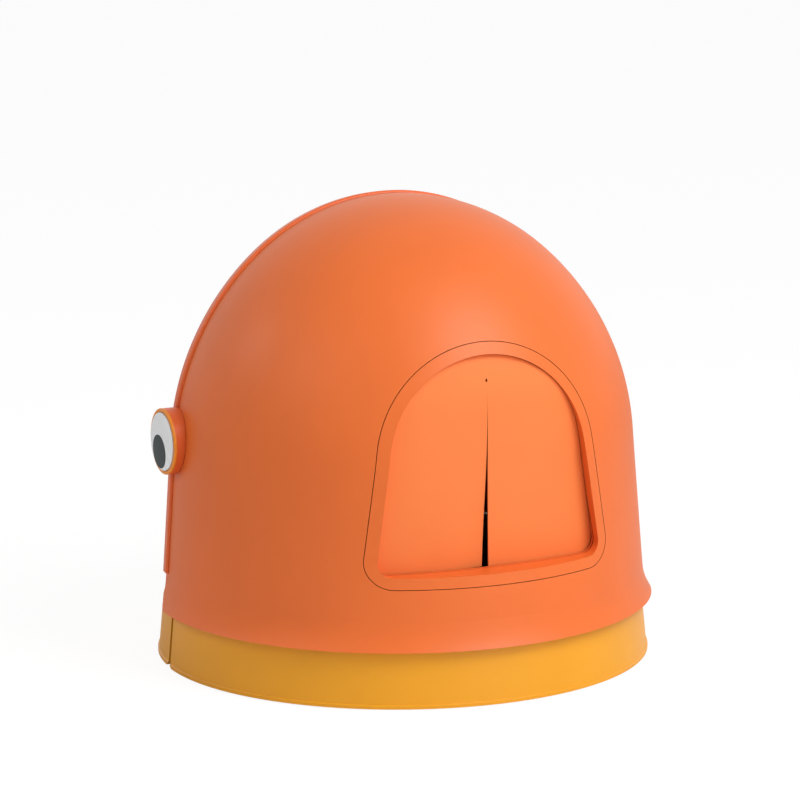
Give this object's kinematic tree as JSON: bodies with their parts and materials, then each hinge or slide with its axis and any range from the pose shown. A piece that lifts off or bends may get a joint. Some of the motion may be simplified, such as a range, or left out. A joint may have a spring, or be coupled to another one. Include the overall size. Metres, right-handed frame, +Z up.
{
  "type": "covered litter box",
  "caption": "Domed covered litter box with a lifting front visor, a slide-out litter drawer and a split-curtain cat door at the back.",
  "frame": {"origin": "on the floor under the centre of the round base", "axes": "+Z up, -Y the front with the visor and drawer, +Y the back with the cat door, +X the side of the right eye seen from the front"},
  "size_m": [0.4978, 0.4978, 0.4575],
  "materials": {
    "base_yellow": "satin",
    "foot_rubber": "matt",
    "runner_plastic": "matt, low friction",
    "tray_grey": "matt",
    "screw_steel": "plain",
    "shell_orange": "satin",
    "rim_orange": "satin",
    "curtain_orange": "matt",
    "clamp_orange": "matt",
    "eye_white": "gloss",
    "eye_dark": "gloss",
    "visor_orange": "satin"
  },
  "bodies": {
    "base": {"base_pan": "base_yellow", "rubber_feet": "foot_rubber", "tray_runners": "runner_plastic"},
    "drawer": {"litter_tray": "tray_grey", "drawer_front": "base_yellow", "drawer_screws": "screw_steel"},
    "cover": {"rear_shell": "shell_orange", "front_rim": "rim_orange", "seat_ring": "shell_orange", "seat_screws": "screw_steel", "visor_pads": "foot_rubber", "door_frame": "shell_orange", "frame_screws": "screw_steel", "curtain_sheet": "curtain_orange", "curtain_clamp": "clamp_orange", "clamp_screws": "screw_steel", "eye_housing_right": "rim_orange", "eye_housing_left": "rim_orange", "eye_ring_right": "base_yellow", "eye_ring_left": "base_yellow", "eye_white_right": "eye_white", "eye_white_left": "eye_white", "eye_pupil_right": "eye_dark", "eye_pupil_left": "eye_dark", "housing_screws": "screw_steel", "pivot_pin_right": "runner_plastic", "pivot_pin_left": "runner_plastic"},
    "visor": {"visor_shell": "visor_orange", "visor_bush_right": "runner_plastic", "visor_bush_left": "runner_plastic"},
    "flap_right": {"curtain_flap_right": "curtain_orange"},
    "flap_left": {"curtain_flap_left": "curtain_orange"}
  },
  "joints": [
    {"name": "drawer_slide", "type": "slide", "parent": "base", "child": "drawer", "axis": [0, -1, 0], "range_m": [0, 0.38]},
    {"name": "cover_lift", "type": "slide", "parent": "base", "child": "cover", "axis": [0, 0, 1], "range_m": [0, 0.3]},
    {"name": "visor_hinge", "type": "hinge", "parent": "cover", "child": "visor", "pos_m": [0, -0.033, 0.2265], "axis": [-1, 0, 0], "range_deg": [0, 60]},
    {"name": "flap_right_swing", "type": "hinge", "parent": "cover", "child": "flap_right", "pos_m": [0.0885, 0.19007, 0.22988], "axis": [0, -0.1132, 0.9936], "range_deg": [-60, 60], "stiffness_Nm_per_rad": 0.02},
    {"name": "flap_left_swing", "type": "hinge", "parent": "cover", "child": "flap_left", "pos_m": [-0.0885, 0.19007, 0.22988], "axis": [0, 0.1132, -0.9936], "range_deg": [-60, 60], "stiffness_Nm_per_rad": 0.02}
  ]
}
